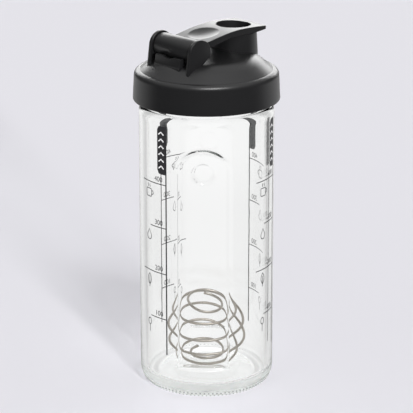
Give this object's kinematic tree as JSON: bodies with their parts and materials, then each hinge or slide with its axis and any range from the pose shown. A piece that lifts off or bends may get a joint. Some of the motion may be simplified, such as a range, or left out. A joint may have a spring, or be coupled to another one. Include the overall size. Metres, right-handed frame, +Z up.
{
  "type": "shaker bottle",
  "caption": "Tall clear glass shaker bottle with a black screw lid, a hinged flip cap that plugs its spout, and a loose wire whisk ball inside for mixing batter.",
  "frame": {"origin": "centre of the base, on the surface that the bottle stands on", "axes": "+Z up along the bottle's axis, -Y to the front, where one of the two arched flats of the glass is"},
  "size_m": [0.0978, 0.0978, 0.2447],
  "materials": {
    "clear_glass": "clear polished",
    "black_plastic": "satin moulded",
    "silicone": "matt",
    "steel_wire": "drawn wire"
  },
  "bodies": {
    "bottle": {"glass_bottle": "clear_glass"},
    "seal": {"lid_gasket": "silicone"},
    "lid": {"screw_lid": "black_plastic"},
    "cap": {"flip_cap": "black_plastic"},
    "whisk": {"whisk_ball": "steel_wire"}
  },
  "joints": [
    {"name": "lid_lift", "type": "slide", "parent": "bottle", "child": "seal", "axis": [0, 0, 1], "range_m": [0, 0.0076]},
    {"name": "lid_turn", "type": "hinge", "parent": "seal", "child": "lid", "pos_m": [0, 0, 0.2], "axis": [0, 0, 1], "range_deg": [0, 450]},
    {"name": "flip_open", "type": "hinge", "parent": "lid", "child": "cap", "pos_m": [-0.01746, -0.01572, 0.2352], "axis": [0.6691, -0.7431, 0], "range_deg": [0, 150]},
    {"name": "whisk_travel", "type": "slide", "parent": "bottle", "child": "whisk", "axis": [0, 0, 1], "range_m": [0, 0.168]}
  ],
  "couplings": [
    {"joint": "lid_lift", "follows": "lid_turn", "m_per_rad": 0.00095493}
  ]
}
